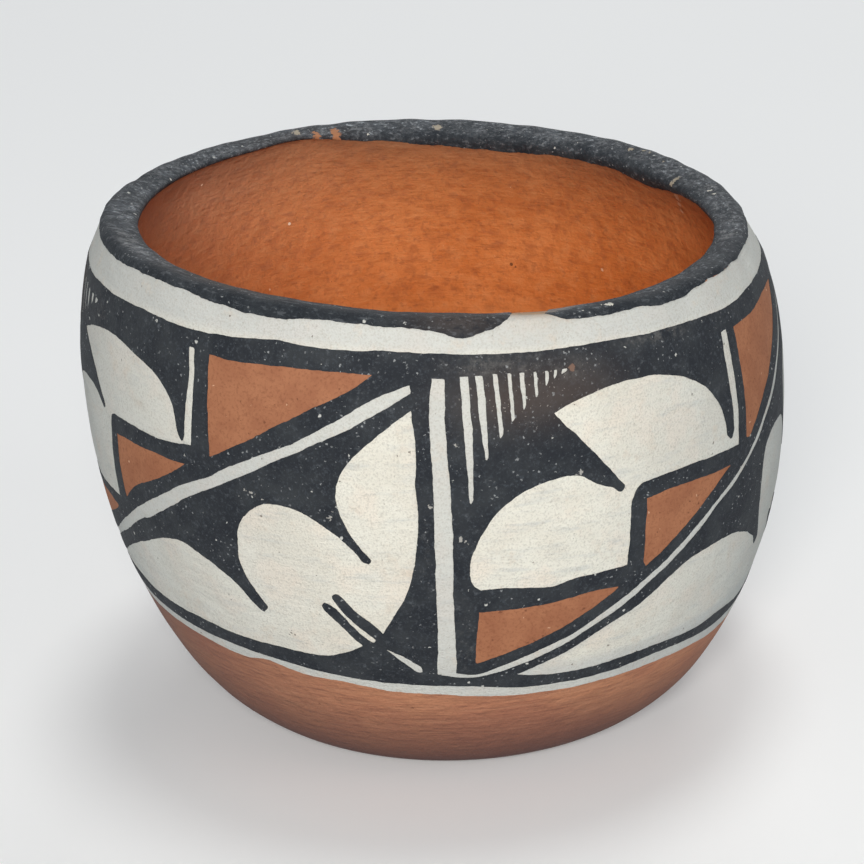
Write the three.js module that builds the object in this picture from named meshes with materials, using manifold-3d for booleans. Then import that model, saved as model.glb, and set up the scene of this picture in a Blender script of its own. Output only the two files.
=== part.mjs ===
// A small hand-built pottery bowl. One fired clay body carries thin coats:
// a band of white slip round the wall, black paint over the lip, a black painted
// band on the slip, and ochre patches in the openings of that band.
// Millimetres, +Z up. The origin is the centre of the flat foot. The front faces -Y,
// and angles round the bowl are counted in degrees from the front towards +X.
import * as THREE from "three";
import { mergeVertices } from "three/addons/utils/BufferGeometryUtils.js";
import Module from "manifold-3d";

const wasm = await Module();
wasm.setup();

// Clay body
const bowlHeight = 78.2;
const bellyRadius = 54.2;
const bellyHeight = 50;
const footRadius = 32;
const rimDrawIn = 5;
const wallThickness = 5.6;
const floorThickness = 7;
const lipRounding = 1.6;

// What the hands left uneven: the rim stands off the foot's centre and dips to one side
const rimOffset = -2.9;
const rimDipHeight = 1.5;

// Fullness of the three wall curves, as exponents of their formulas
const lowerFullness = 1.9;
const lowerTurn = 1.5;
const shoulderTurn = 2.4;
const insideFullness = 2.8;
const insideTurn = 2.3;

// Coats, measured along the wall from the rim down or from the table up
const slipThickness = 0.4;
const paintThickness = 0.3;
const coatGap = 0.15;
const edgeGap = 0.3;
const rimPaintDrop = 1.9;
const rimPaintInsideDrop = 1;
const plainRimBand = 3.6;
const upperLineWidth = 3;
const lowerLineWidth = 2.2;
const lowerLineHeight = 21;
const slipBelowLine = 2;

// Strokes left white in the black band
const panelCount = 4;
const panelDegrees = 360 / panelCount;
const panelFull = 100;
const dividerWidth = 2.2;
const diagonalWidth = 1.4;
const dashWidth = 0.7;
const hatchCount = 9;
const hatchWidth = 0.95;
const hatchTipWidth = 0.5;

// How finely the curves are divided
const roundSegments = 48;
const lowerRows = 6;
const upperRows = 3;
const insideRows = 8;
const lipSteps = 4;
const outlineSteps = 2;
const wedgeSteps = 12;

// Heights of the bands, all worked out from the sizes above
const wallTop = bowlHeight - lipRounding;
const slipTop = bowlHeight - rimPaintDrop - edgeGap;
const blackTop = slipTop - plainRimBand;
const blackBottom = lowerLineHeight;
const panelTop = blackTop - upperLineWidth;
const panelBottom = blackBottom + lowerLineWidth;
const slipBottom = blackBottom - slipBelowLine;
const rimRadius = bellyRadius - rimDrawIn;
const slipOffset = coatGap;
const paintOffset = slipOffset + slipThickness + coatGap;
const degreesPerMm = THREE.MathUtils.RAD2DEG / bellyRadius;

// Outlines of the repeated panel. Each point is [percent across the panel from one
// divider to the next, percent up from the lower line to the upper line]. A stroke of
// two points is straight and a longer one is a smooth curve; strokes meet end to end.
const leafField = [
  [[19, 88], [33, 94.3], [46, 89.3], [53, 77.5], [54.1, 66.5]],
  [[54.1, 66.5], [55.3, 64.8]],
  [[55.3, 64.8], [56.2, 67.5]],
  [[56.2, 67.5], [56.4, 98.5]],
  [[56.4, 98.5], [57.9, 98.5]],
  [[57.9, 98.5], [57.6, 62]],
  [[57.6, 62], [37, 61.7]],
  [[37, 61.7], [32.8, 59.3], [31.8, 54]],
  [[31.8, 54], [31.2, 34.5]],
  [[31.2, 34.5], [18, 32.5], [4.9, 34]],
  [[4.9, 34], [4.2, 43.5]],
  [[4.2, 43.5], [9, 59.3], [19.5, 67.8], [27.7, 63]],
  [[27.7, 63], [30, 60.5]],
  [[30, 60.5], [30.6, 62.7]],
  [[30.6, 62.7], [25, 75], [19, 88]],
];
const lobeField = [
  [[11.7, 1.5], [32.5, 18], [43, 29], [52, 32.2], [60, 29.5], [65.7, 22]],
  [[65.7, 22], [67, 19]],
  [[67, 19], [68.3, 20.3]],
  [[68.3, 20.3], [65, 37], [67.2, 53], [74, 57.6], [81, 53], [86.6, 43.2]],
  [[86.6, 43.2], [88.1, 42.8]],
  [[88.1, 42.8], [83.8, 58], [86, 74], [96.3, 90.7]],
  [[96.3, 90.7], [96.4, 57], [89, 17.6]],
  [[89, 17.6], [82.8, 29.7]],
  [[82.8, 29.7], [81.1, 28.2]],
  [[81.1, 28.2], [87.7, 14.4]],
  [[87.7, 14.4], [87, 13.6]],
  [[87, 13.6], [80.3, 26.1]],
  [[80.3, 26.1], [79.1, 24.6]],
  [[79.1, 24.6], [85.4, 11.9]],
  [[85.4, 11.9], [73, 4], [50, 2]],
  [[50, 2], [31, 1.5]],
  [[31, 1.5], [11.7, 1.5]],
];
const diagonalLine = [[6.5, 1.5], [21.7, 13.8], [43.4, 38.6], [65.1, 62.5], [86.8, 87.3], [96.3, 96.8]];
const dashLine = [[89.5, 11], [95, 2.8]];
const hatchSpan = [5.2, 22.8];
const hatchDepth = [64, 97.5];
const ochreOutlines = {
  upper: [
    [[60.5, 98.5], [87.3, 98.8]],
    [[87.3, 98.8], [75.5, 83]],
    [[75.5, 83], [60.5, 64]],
    [[60.5, 64], [60.5, 98.5]],
  ],
  middle: [
    [[34.9, 57.2], [54.9, 57.8]],
    [[54.9, 57.8], [47, 48]],
    [[47, 48], [34.9, 33]],
    [[34.9, 33], [34.9, 57.2]],
  ],
  lower: [
    [[5, 25.4], [29.7, 27.5]],
    [[29.7, 27.5], [17, 14.5]],
    [[17, 14.5], [4.5, 5]],
    [[4.5, 5], [5, 25.4]],
  ],
};

// Radius of the outer clay wall at a height
function outerRadius(height) {
  if (height > bellyHeight) {
    const rise = (height - bellyHeight) / (bowlHeight - bellyHeight);
    return bellyRadius - rimDrawIn * rise ** shoulderTurn;
  }
  const drop = (bellyHeight - height) / bellyHeight;
  const share = (1 - drop ** lowerFullness) ** (1 / lowerTurn);
  return footRadius + (bellyRadius - footRadius) * share;
}

// Radius of the inner clay wall at a height
function innerRadius(height) {
  if (height > bellyHeight) return outerRadius(height) - wallThickness;
  const drop = (bellyHeight - height) / (bellyHeight - floorThickness);
  return (bellyRadius - wallThickness) * (1 - drop ** insideFullness) ** (1 / insideTurn);
}

// A profile point that stands a given distance off the outer wall, square to it
function offWall(height, distance) {
  const step = 0.01;
  const slope = (outerRadius(height + step) - outerRadius(height - step)) / (2 * step);
  const length = Math.hypot(1, slope);
  return new THREE.Vector2(
    outerRadius(height) + distance / length,
    height - (distance * slope) / length,
  );
}

// A profile point that stands a given distance off the rounded lip, by its angle over the top
function offLip(angle, distance) {
  const outside = outerRadius(wallTop);
  const inside = innerRadius(wallTop);
  const halfWidth = (outside - inside) / 2;
  return new THREE.Vector2(
    (outside + inside) / 2 + Math.cos(angle) * (halfWidth + distance),
    wallTop + Math.sin(angle) * (lipRounding + distance),
  );
}

// Heights of the wall's rows from the table to the lip, closer together near the foot
function wallRows() {
  const rows = [];
  for (let i = 0; i < lowerRows; i++) {
    rows.push(bellyHeight * (1 - Math.cos((Math.PI / 2) * (i / lowerRows))));
  }
  for (let i = 0; i <= upperRows; i++) {
    rows.push(THREE.MathUtils.lerp(bellyHeight, wallTop, i / upperRows));
  }
  return rows;
}

// Two heights with the wall's own rows between them, so that a coat's facets lie along the wall's
function rowsBetween(low, high) {
  return [low, ...wallRows().filter((row) => row > low + edgeGap && row < high - edgeGap), high];
}

// A closed solid of revolution about Z
function revolve(profile) {
  return new THREE.LatheGeometry(profile, roundSegments).rotateX(Math.PI / 2);
}

// A ring of even thickness that lies off the outer wall between two heights
function wallRing(low, high, offset, thickness) {
  const rows = rowsBetween(low, high);
  const outside = rows.map((row) => offWall(row, offset + thickness));
  const inside = rows.map((row) => offWall(row, offset)).reverse();
  return revolve([...outside, ...inside, outside[0]]);
}

function solidOf(geometry) {
  const bare = geometry.clone();
  bare.deleteAttribute("normal");
  bare.deleteAttribute("uv");
  const merged = mergeVertices(bare, 1e-4);
  return new wasm.Manifold(
    new wasm.Mesh({
      numProp: 3,
      vertProperties: new Float32Array(merged.attributes.position.array),
      triVerts: new Uint32Array(merged.index.array),
    }),
  );
}

function geometryOf(solid) {
  const mesh = solid.getMesh();
  const geometry = new THREE.BufferGeometry();
  geometry.setAttribute("position", new THREE.BufferAttribute(mesh.vertProperties, 3));
  geometry.setIndex(new THREE.BufferAttribute(mesh.triVerts, 1));
  return geometry;
}

// Moves a true round shape to the uneven form that the bowl has
function handBuilt(geometry) {
  const position = geometry.attributes.position;
  for (let i = 0; i < position.count; i++) {
    const x = position.getX(i);
    const z = position.getZ(i);
    position.setX(i, x + (rimOffset * z) / bowlHeight);
    position.setZ(i, z * (1 - (rimDipHeight * x) / (rimRadius * bowlHeight)));
  }
  geometry.computeVertexNormals();
  return geometry;
}

// From a panel's percentages to degrees round the bowl and millimetres up
function onPanel([across, up], panel) {
  return new THREE.Vector2(
    (panel + across / panelFull) * panelDegrees,
    panelBottom + ((panelTop - panelBottom) * up) / panelFull,
  );
}

// Points along a stroke: its two ends when it is straight, or a smooth curve through its points
function strokePoints(stroke, panel) {
  const points = stroke.map((point) => onPanel(point, panel));
  if (points.length === 2) return points;
  return new THREE.SplineCurve(points).getPoints(outlineSteps * (points.length - 1));
}

function outlineShape(strokes, panel) {
  return new THREE.Shape(strokes.flatMap((stroke) => strokePoints(stroke, panel).slice(0, -1)));
}

// The outline of a brush line of one width, in millimetres, along a stroke
function lineShape(stroke, width, panel) {
  const points = strokePoints(stroke, panel);
  const sides = points.map((point, i) => {
    const before = points[Math.max(i - 1, 0)];
    const after = points[Math.min(i + 1, points.length - 1)];
    const along = new THREE.Vector2((after.x - before.x) / degreesPerMm, after.y - before.y).normalize();
    const out = new THREE.Vector2((-along.y * width * degreesPerMm) / 2, (along.x * width) / 2);
    return [point.clone().add(out), point.clone().sub(out)];
  });
  const left = sides.map((pair) => pair[0]);
  const right = sides.map((pair) => pair[1]).reverse();
  return new THREE.Shape([...left, ...right]);
}

// An outline drawn again a gap inside itself, with each corner moved along its bisector
function insetShape(shape, gap) {
  const flat = shape.getPoints().map((p) => new THREE.Vector2(p.x / degreesPerMm, p.y));
  const turn = Math.sign(THREE.ShapeUtils.area(flat));
  const inner = flat.map((point, i) => {
    const before = flat[(i + flat.length - 1) % flat.length];
    const after = flat[(i + 1) % flat.length];
    const entry = point.clone().sub(before).normalize();
    const exit = after.clone().sub(point).normalize();
    const inward = new THREE.Vector2(-entry.y - exit.y, entry.x + exit.x).normalize().multiplyScalar(turn);
    const square = Math.abs(inward.x * -entry.y + inward.y * entry.x);
    return point.clone().addScaledVector(inward, gap / square);
  });
  return new THREE.Shape(inner.map((p) => new THREE.Vector2(p.x * degreesPerMm, p.y)));
}

// A wedge that reaches from well inside the wall to well outside it, with the outline as its section
function radialWedge(shape) {
  const near = 0.6 * bellyRadius;
  const far = 1.5 * bellyRadius;
  const geometry = new THREE.ExtrudeGeometry(shape, {
    depth: far - near,
    steps: wedgeSteps,
    bevelEnabled: false,
  });
  const position = geometry.attributes.position;
  for (let i = 0; i < position.count; i++) {
    const angle = THREE.MathUtils.degToRad(position.getX(i));
    const radius = near + position.getZ(i);
    position.setXYZ(i, radius * Math.sin(angle), -radius * Math.cos(angle), position.getY(i));
  }
  return solidOf(geometry);
}

// Upright white lines that get shorter and finer away from the divider
function hatchShapes(panel) {
  const shapes = [];
  for (let i = 0; i < hatchCount; i++) {
    const share = i / (hatchCount - 1);
    const across = THREE.MathUtils.lerp(hatchSpan[0], hatchSpan[1], share);
    const foot = THREE.MathUtils.lerp(hatchDepth[0], hatchDepth[1], Math.sqrt(share));
    const width = THREE.MathUtils.lerp(hatchWidth, hatchTipWidth, share);
    shapes.push(lineShape([[across, foot], [across, panelFull]], width, panel));
  }
  return shapes;
}

// Everything that stays free of black in one panel
function openingShapes(panel) {
  return [
    lineShape([[0, 0], [0, panelFull]], dividerWidth, panel),
    ...hatchShapes(panel),
    outlineShape(leafField, panel),
    outlineShape(lobeField, panel),
    lineShape(diagonalLine, diagonalWidth, panel),
    lineShape(dashLine, dashWidth, panel),
    ...Object.values(ochreOutlines).map((outline) => outlineShape(outline, panel)),
  ];
}

function clayBody() {
  const outside = rowsBetween(0, wallTop).map((row) => new THREE.Vector2(outerRadius(row), row));
  const lip = [];
  for (let i = 1; i < lipSteps; i++) lip.push(offLip((Math.PI * i) / lipSteps, 0));
  const inside = [];
  for (let i = 0; i <= insideRows; i++) {
    const turn = (Math.PI / 2) * (i / insideRows);
    const height = floorThickness + (wallTop - floorThickness) * (1 - Math.sin(turn));
    inside.push(new THREE.Vector2(i === insideRows ? 0 : innerRadius(height), height));
  }
  return revolve([new THREE.Vector2(0, 0), ...outside, ...lip, ...inside]);
}

function slipBand() {
  return wallRing(slipBottom, slipTop, slipOffset, slipThickness);
}

// A cap of paint that wraps the lip from a little way down outside to a little way down inside
function rimPaint() {
  const skin = (distance) => {
    const points = [offWall(bowlHeight - rimPaintDrop, distance)];
    for (let i = 0; i <= lipSteps; i++) points.push(offLip((Math.PI * i) / lipSteps, distance));
    const low = wallTop - rimPaintInsideDrop;
    points.push(new THREE.Vector2(innerRadius(low) - distance, low));
    return points;
  };
  const outside = skin(coatGap + paintThickness);
  return revolve([...outside, ...skin(coatGap).reverse(), outside[0]]);
}

function blackBand() {
  let band = solidOf(wallRing(blackBottom, blackTop, paintOffset, paintThickness));
  for (let panel = 0; panel < panelCount; panel++) {
    for (const shape of openingShapes(panel)) band = band.subtract(radialWedge(shape));
  }
  return geometryOf(band);
}

function ochrePatch(outline, panel) {
  const ring = solidOf(wallRing(blackBottom, blackTop, paintOffset, paintThickness));
  return geometryOf(ring.intersect(radialWedge(insetShape(outlineShape(outline, panel), edgeGap))));
}

const clay = new THREE.MeshStandardMaterial({ color: 0xb5673f, roughness: 0.8, metalness: 0 });
const whiteSlip = new THREE.MeshStandardMaterial({ color: 0xdcd8cb, roughness: 0.75, metalness: 0 });
const blackPaint = new THREE.MeshStandardMaterial({ color: 0x2e2f33, roughness: 0.85, metalness: 0 });
const ochrePaint = new THREE.MeshStandardMaterial({ color: 0xb1693f, roughness: 0.85, metalness: 0 });

const bowl = new THREE.Group();
function addPiece(name, geometry, material) {
  const mesh = new THREE.Mesh(handBuilt(geometry), material);
  mesh.name = name;
  bowl.add(mesh);
}

addPiece("clay_body", clayBody(), clay);
addPiece("white_slip_band", slipBand(), whiteSlip);
addPiece("rim_black_paint", rimPaint(), blackPaint);
addPiece("band_black_paint", blackBand(), blackPaint);
for (const [place, outline] of Object.entries(ochreOutlines)) {
  for (let panel = 0; panel < panelCount; panel++) {
    addPiece(`ochre_patch_${place}_${panel + 1}`, ochrePatch(outline, panel), ochrePaint);
  }
}

export default bowl;
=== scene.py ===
import math

import bpy
import numpy as np
from mathutils import Matrix, Vector, noise
from mathutils.geometry import delaunay_2d_cdt


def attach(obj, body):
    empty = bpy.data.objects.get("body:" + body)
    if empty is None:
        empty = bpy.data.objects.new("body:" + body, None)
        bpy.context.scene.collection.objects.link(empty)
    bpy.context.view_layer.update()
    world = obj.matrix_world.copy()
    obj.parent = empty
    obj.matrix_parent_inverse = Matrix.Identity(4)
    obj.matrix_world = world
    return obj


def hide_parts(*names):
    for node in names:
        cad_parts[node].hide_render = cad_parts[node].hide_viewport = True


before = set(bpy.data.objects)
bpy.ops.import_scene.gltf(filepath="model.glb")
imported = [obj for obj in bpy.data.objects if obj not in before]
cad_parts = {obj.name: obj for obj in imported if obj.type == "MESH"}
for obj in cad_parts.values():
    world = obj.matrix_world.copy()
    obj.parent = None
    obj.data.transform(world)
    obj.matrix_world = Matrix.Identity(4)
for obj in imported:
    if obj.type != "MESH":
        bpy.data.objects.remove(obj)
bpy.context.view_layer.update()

# The brush edges wander the same way in every run
SEED = 7
noise.seed_set(SEED)

MM = 0.001
IMAGE = 864

# Form of the wall
LIP_HEIGHT = 78.1
BELLY_RADIUS = 54.8
BELLY_HEIGHT = 50.0
FOOT_RADIUS = 32.6
DRAW_IN = 5.0
WALL = 5.6
FLOOR_HEIGHT = 7.0
LOWER_FULLNESS, LOWER_TURN = 1.9, 1.55
SHOULDER_TURN = 2.4
INSIDE_FULLNESS, INSIDE_TURN = 2.8, 2.3
LIP_START = 77.04
LIP_LEAN = 14.0
LIP_WALL = 6.1
LIP_ROUNDING = 1.5
LIP_SQUARENESS = 3.0
RIM_OFFSET = -2.9
RIM_DIP = 1.5
RIM_RADIUS = 49.2

# How far each coat stands off the clay: its underside, its face, and its face along the edges
SLIP_COAT = 0.005, 0.05, 0.03
LIP_COAT = 0.02, 0.19, 0.14
OCHRE_COAT = 0.04, 0.085, 0.07
BAND_COAT = 0.05, 0.13, 0.095

# Gaps between the points of the wall's profile: under the foot, outside, over the lip and inside
FOOT_STEP, WALL_STEP, LIP_STEP, INSIDE_STEP = 4.0, 0.85, 0.4, 1.2
FOOT_INSET = 0.8

# How far the scraped wall swells in broad and in close waves, outside and inside, and on the lip
SWELL_OUTSIDE = 0.30, 0.07
SWELL_INSIDE = 0.34, 0.14
SWELL_LIP, LIP_REACH = 0.22, 5.0
BROAD_WAVE, BROAD_WAVE_RISE = 26, 22
CLOSE_WAVE, CLOSE_WAVE_RISE = 7, 5.5
LIP_WAVE, LIP_WAVE_RISE = 4.2, 9
TRUE_FOOT = 6.0
LIP_SIDE = 3.0

DEGREE = math.pi / 180
ARC = BELLY_RADIUS * DEGREE


def outer_radius(z):
    if z > BELLY_HEIGHT:
        rise = (z - BELLY_HEIGHT) / (LIP_HEIGHT - BELLY_HEIGHT)
        return BELLY_RADIUS - DRAW_IN * rise**SHOULDER_TURN
    drop = (BELLY_HEIGHT - z) / BELLY_HEIGHT
    return FOOT_RADIUS + (BELLY_RADIUS - FOOT_RADIUS) * (1 - drop**LOWER_FULLNESS) ** (1 / LOWER_TURN)


def inner_radius(z):
    if z > BELLY_HEIGHT:
        return outer_radius(z) - WALL
    drop = (BELLY_HEIGHT - z) / (BELLY_HEIGHT - FLOOR_HEIGHT)
    return (BELLY_RADIUS - WALL) * max(0.0, 1 - drop**INSIDE_FULLNESS) ** (1 / INSIDE_TURN)


def spaced(points, gap):
    """The same line with its points an even gap apart."""
    line = np.array(points, float)
    run = np.concatenate([[0], np.cumsum(np.hypot(*np.diff(line, axis=0).T))])
    count = max(2, int(round(run[-1] / gap)) + 1)
    at = np.linspace(0, run[-1], count)
    return np.column_stack([np.interp(at, run, line[:, k]) for k in (0, 1)])


def wall_profile():
    """(r, z) from the centre of the foot over the lip to the middle of the floor, s along it, and the
    rows where the foot and the lip end."""
    foot = spaced([(0, 0), (FOOT_RADIUS - FOOT_INSET, 0)], FOOT_STEP)
    turn = np.linspace(0, math.pi / 2, 400)
    low = [(outer_radius(z), z) for z in BELLY_HEIGHT * (1 - np.cos(turn))]
    high = [(outer_radius(z), z) for z in np.linspace(BELLY_HEIGHT, LIP_START, 60)[1:]]
    outside = spaced(low + high, WALL_STEP)
    lean = LIP_LEAN * DEGREE
    up = np.array([-math.sin(lean), math.cos(lean)])
    out = np.array([up[1], -up[0]])
    edge = np.array([outer_radius(LIP_START), LIP_START])
    middle = edge - out * LIP_WALL / 2
    lip = []
    for phi in np.linspace(0, math.pi, 181)[1:-1]:
        across = math.copysign(abs(math.cos(phi)) ** (2 / LIP_SQUARENESS), math.cos(phi))
        above = math.sin(phi) ** (2 / LIP_SQUARENESS)
        lip.append(middle + out * LIP_WALL / 2 * across + up * LIP_ROUNDING * above)
    inner_edge = edge - out * LIP_WALL
    lip = spaced([edge, *lip, inner_edge], LIP_STEP)
    shift = inner_edge[0] - inner_radius(inner_edge[1])
    down = []
    for share in np.linspace(0, 1, 400)[1:]:
        z = FLOOR_HEIGHT + (inner_edge[1] - FLOOR_HEIGHT) * (1 - math.sin(share * math.pi / 2))
        keep = (z - FLOOR_HEIGHT) / (inner_edge[1] - FLOOR_HEIGHT)
        down.append((inner_radius(z) + shift * keep, z))
    down[-1] = (0.0, FLOOR_HEIGHT)
    inside = spaced([inner_edge, *down], INSIDE_STEP)
    line = np.vstack([foot, outside, lip[1:], inside[1:]])
    s = np.concatenate([[0], np.cumsum(np.hypot(*np.diff(line, axis=0).T))])
    lip_end = len(foot) + len(outside) + len(lip) - 2
    return line, s, len(foot), lip_end


PROFILE, S, FOOT_ROWS, LIP_END = wall_profile()
CREST = int(np.argmax(PROFILE[:, 1]))
S_CREST = S[CREST]
S_LIP = float(np.interp(LIP_START, PROFILE[FOOT_ROWS:CREST, 1], S[FOOT_ROWS:CREST]))
LIP_GRID = 0.45
# Square of the least way from a coat's edge to its inner points
EDGE_CLEAR = 0.3
S_UNEVEN = S_LIP - 4.5
COLUMNS = 720
ROWS = len(S)


def s_of(z):
    """s on the outside wall at a height; above the lip's crest it goes on over the lip."""
    rising = slice(FOOT_ROWS, CREST + 1)
    on_wall = np.interp(z, PROFILE[rising, 1], S[rising])
    return on_wall + np.maximum(0, np.asarray(z, float) - PROFILE[CREST, 1])


def hand_built(x, y, z):
    return x + RIM_OFFSET * z / LIP_HEIGHT, y, z * (1 - RIM_DIP * x / (RIM_RADIUS * LIP_HEIGHT))


def periodic(table):
    """A smooth function of the angle from (degrees, value) pairs in one turn."""
    t = np.array(sorted(table), float)
    x = np.concatenate([t[:, 0] - 360, t[:, 0], t[:, 0] + 360])
    y = np.tile(t[:, 1], 3)
    m = np.gradient(y, x)

    def value(theta):
        a = (np.asarray(theta, float) - t[0, 0]) % 360 + t[0, 0]
        k = np.clip(np.searchsorted(x, a) - 1, 0, len(x) - 2)
        h = x[k + 1] - x[k]
        f = (a - x[k]) / h
        rise = f * f * (3 - 2 * f)
        return y[k] * (1 - rise) + y[k + 1] * rise + h * f * (1 - f) * (m[k] * (1 - f) - m[k + 1] * f)
    return value


# The rim isn't a true circle: how much higher and wider it stands than one, against angle
RIM_RISE = periodic([
    (-180, 0.3), (-140, -0.13), (-120, -0.25), (-80, -0.04), (-60, 0.1), (-20, -0.16), (0, -0.49),
    (30, -0.8), (60, -0.64), (90, -0.15), (120, 0.24), (150, 0.42),
])
RIM_SPREAD = periodic([
    (-180, 0.44), (-150, -0.55), (-120, -1.44), (-80, -0.5), (-50, 0), (-10, -0.4), (40, -0.07),
    (80, -0.64), (105, -1.1), (125, -0.9), (150, 0),
])
RIM_WAVE_FOOT, RIM_WAVE_REACH = 70.5, 7.0
VIEW_SLOPE = 0.36

# Where the lip is thinner than its usual width, in mm off its inner side, against angle
THIN_LIP = periodic([
    (-172, 0), (-164, 0.8), (-154, 2.1), (-140, 1.65), (-124, 1.4), (-108, 1.1), (-92, 0.5), (-75, 0.2),
    (-60, 0), (0, 0), (30, 0), (55, 0.4), (76, 0.8), (92, 0.8), (108, 0.3), (116, 0), (140, 0), (170, 0),
])
THIN_LIP_RISE = 0.7
THIN_LIP_FADE = 14.0


def rim_share(z):
    """How far up into the uneven rim a height lies: 0 on the wall, 1 at the lip."""
    f = np.clip((np.asarray(z, float) - RIM_WAVE_FOOT) / RIM_WAVE_REACH, 0, 1)
    return f * f * (3 - 2 * f)


def s_at(theta, z):
    """s on the outside wall for a height drawn as if the rim were a true circle seen from the front."""
    lift = RIM_RISE(theta) - VIEW_SLOPE * np.cos(np.asarray(theta) * DEGREE) * RIM_SPREAD(theta)
    return s_of(z - rim_share(z) * lift)


def wall_grid():
    """Points and outward normals of the uneven wall by angle and s; the last column is the first again."""
    theta = np.arange(COLUMNS) * 2 * math.pi / COLUMNS
    step = np.gradient(PROFILE, axis=0)
    step /= np.linalg.norm(step, axis=1)[:, None]
    normal = np.column_stack([step[:, 1], -step[:, 0]])
    swell = np.zeros((COLUMNS, ROWS))
    for j in range(ROWS):
        r, z = PROFILE[j]
        past = S[j] - S_CREST
        hold = min(1.0, z / TRUE_FOOT) if past < 0 else 1.0
        if hold <= 0:
            continue
        broad, close = SWELL_OUTSIDE if past < -LIP_SIDE else SWELL_INSIDE
        rim = SWELL_LIP * math.exp(-(past / LIP_REACH) ** 2)
        for i in range(COLUMNS):
            x, y = r * math.sin(theta[i]), -r * math.cos(theta[i])
            bump = broad * noise.noise(Vector((x / BROAD_WAVE, y / BROAD_WAVE, z / BROAD_WAVE_RISE + 7)))
            bump += close * noise.noise(Vector((x / CLOSE_WAVE, y / CLOSE_WAVE, z / CLOSE_WAVE_RISE + 31)))
            bump += rim * noise.noise(Vector((x / LIP_WAVE, y / LIP_WAVE, past / LIP_WAVE_RISE + 57)))
            swell[i, j] = hold * bump
    r = PROFILE[:, 0] + swell * normal[:, 0]
    z = PROFILE[:, 1] + swell * normal[:, 1]
    turn = theta[:, None] / DEGREE
    share = rim_share(z)
    over = np.clip((S - S_CREST - 1) / (S[LIP_END] - S_CREST - 1), 0, 1)
    over *= np.exp(-np.clip(S - S[LIP_END], 0, None) / THIN_LIP_FADE)
    r = r + share * RIM_SPREAD(turn) + over * THIN_LIP(turn)
    z = z + share * RIM_RISE(turn) + over**2 * THIN_LIP(turn) * THIN_LIP_RISE
    r[:, 0] = r[:, -1] = 0
    z[:, -1] = FLOOR_HEIGHT
    x, y, z = hand_built(r * np.sin(theta)[:, None], -r * np.cos(theta)[:, None], z)
    points = np.stack([x, y, z], -1)
    round_ = np.roll(points, -1, 0) - np.roll(points, 1, 0)
    along = np.gradient(points, axis=1)
    normals = np.cross(round_, along)
    normals /= np.maximum(np.linalg.norm(normals, axis=2), 1e-12)[..., None]
    return np.concatenate([points, points[:1]]), np.concatenate([normals, normals[:1]])


POINTS, NORMALS = wall_grid()


def skin(theta, s, lift):
    """Points that stand a lift off the wall, and the wall's normals there."""
    u = (np.asarray(theta, float) % 360) * COLUMNS / 360
    i = np.minimum(u.astype(int), COLUMNS - 1)
    f = (u - i)[:, None]
    j = np.clip(np.searchsorted(S, s) - 1, 0, ROWS - 2)
    g = ((s - S[j]) / (S[j + 1] - S[j]))[:, None]

    def blend(a):
        lower = a[i, j] * (1 - f) + a[i + 1, j] * f
        upper = a[i, j + 1] * (1 - f) + a[i + 1, j + 1] * f
        return lower * (1 - g) + upper * g

    normal = blend(NORMALS)
    normal /= np.linalg.norm(normal, axis=1)[:, None]
    return blend(POINTS) + normal * np.asarray(lift, float).reshape(-1, 1), normal


def in_scene(name, data):
    """A new object in the scene."""
    made = bpy.data.objects.new(name, data)
    bpy.context.scene.collection.objects.link(made)
    return made


def finish_piece(piece, node):
    """Hangs a piece on the root body and hides the solid of the node that it stands for."""
    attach(piece, "root")
    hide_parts(node)


# Drawing on the wall
def rounded(points, per=6):
    """A smooth line through its points; two points are a straight line."""
    p = np.array(points, float)
    if len(p) < 3:
        return p
    p = np.vstack([2 * p[0] - p[1], p, 2 * p[-1] - p[-2]])
    t = np.linspace(0, 1, per, endpoint=False)[:, None]
    out = []
    for a, b, c, d in zip(p, p[1:], p[2:], p[3:]):
        square, cube = 2 * a - 5 * b + 4 * c - d, 3 * b - a - 3 * c + d
        out.append(0.5 * (2 * b + (c - a) * t + square * t**2 + cube * t**3))
    return np.vstack([*out, p[-2:-1]])


def outline(strokes):
    """A closed outline in (degrees, z). Each stroke starts where the one before it ends."""
    starts = [strokes[-1][-1], *(stroke[-1] for stroke in strokes[:-1])]
    return np.vstack([rounded([start, *stroke])[:-1] for start, stroke in zip(starts, strokes)])


# Edges of the bands round the bowl: height against angle
RIM_EDGE = periodic([
    (-75, 76.9), (-65, 76.8), (-55, 77.2), (-45, 77.3), (-35, 76.8), (-24.7, 76.3), (-18, 76.9),
    (-10, 76.8), (-3.3, 76.6), (0, 76.5), (2, 76.1), (5, 75.4), (8, 75.7), (11.3, 76.6), (12.7, 77.2),
    (24.7, 76.65), (27, 76.5), (33, 76.5), (36.7, 76.45), (40, 76.15), (44.7, 76.05), (52, 76.6),
    (66.7, 76.9), (78, 77.1), (100, 76.6), (120, 76.9), (140, 76.4), (160, 76.7), (180, 76.2),
    (200, 76.7), (220, 76.9), (240, 76.5), (262, 76.9),
])
LINE_TOP = periodic([
    (-75, 72), (-60, 72.4), (-50, 72.7), (-42.7, 72.5), (-30, 73), (-23, 73.6), (-17, 73.3), (-5, 73.6),
    (5, 73.3), (18, 73.1), (28, 73.2), (36, 73), (48, 72.8), (58, 72.4), (65.3, 72.8), (75, 73),
    (100, 72.7), (130, 72.2), (160, 71.8), (190, 72.3), (220, 72.9), (250, 72.4), (270, 71.9),
])
LINE_BOTTOM = periodic([
    (-60, 23.8), (-45, 23.4), (-30, 23), (-20, 22.4), (-12, 21.9), (-3, 21.5), (5, 21), (11.3, 20.2),
    (20, 20), (31, 20.2), (38, 20.6), (44.7, 20.4), (55, 19.7), (70, 19.8), (90, 20.2), (120, 20.8),
    (150, 21.6), (180, 22.3), (210, 22.9), (240, 23.3), (270, 23.8),
])
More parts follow.
